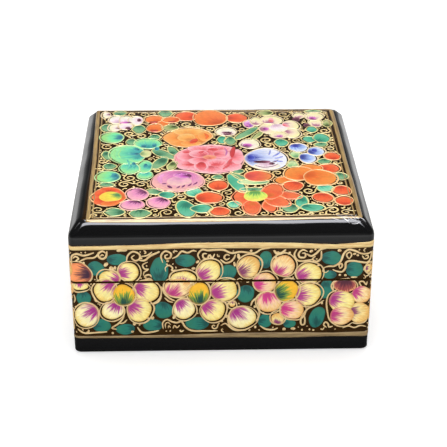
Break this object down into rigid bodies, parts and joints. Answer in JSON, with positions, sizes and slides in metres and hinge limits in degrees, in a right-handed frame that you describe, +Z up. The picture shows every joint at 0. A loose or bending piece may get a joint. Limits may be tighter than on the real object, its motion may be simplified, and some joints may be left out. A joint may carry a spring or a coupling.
{
  "type": "papier mache box",
  "caption": "Small square papier mache box with a loose lift-off lid, a bevelled top, an inner lip and a painted floral pattern under lacquer.",
  "frame": {"origin": "middle of the underside, on the surface that the box stands on", "axes": "+Z up, -Y towards the front, +X to the right as seen from the front"},
  "size_m": [0.076, 0.076, 0.037],
  "materials": {
    "lacquered_skin": "gloss",
    "grey_board": "matte",
    "black_painted_board": "satin",
    "gold_paint": "gloss",
    "flower_paint": "gloss",
    "leaf_paint": "gloss"
  },
  "bodies": {
    "base": {"base_skin": "lacquered_skin", "base_floor": "black_painted_board", "base_front_wall": "grey_board", "base_back_wall": "grey_board", "base_left_wall": "grey_board", "base_right_wall": "grey_board", "lip_front": "black_painted_board", "lip_back": "black_painted_board", "lip_left": "black_painted_board", "lip_right": "black_painted_board"},
    "lid": {"lid_skin": "lacquered_skin", "lid_top_board": "black_painted_board", "lid_front_wall": "black_painted_board", "lid_back_wall": "black_painted_board", "lid_left_wall": "black_painted_board", "lid_right_wall": "black_painted_board"}
  },
  "joints": [
    {"name": "lid_lift", "type": "slide", "parent": "base", "child": "lid", "axis": [0, 0, 1], "range_m": [0, 0.06]}
  ]
}
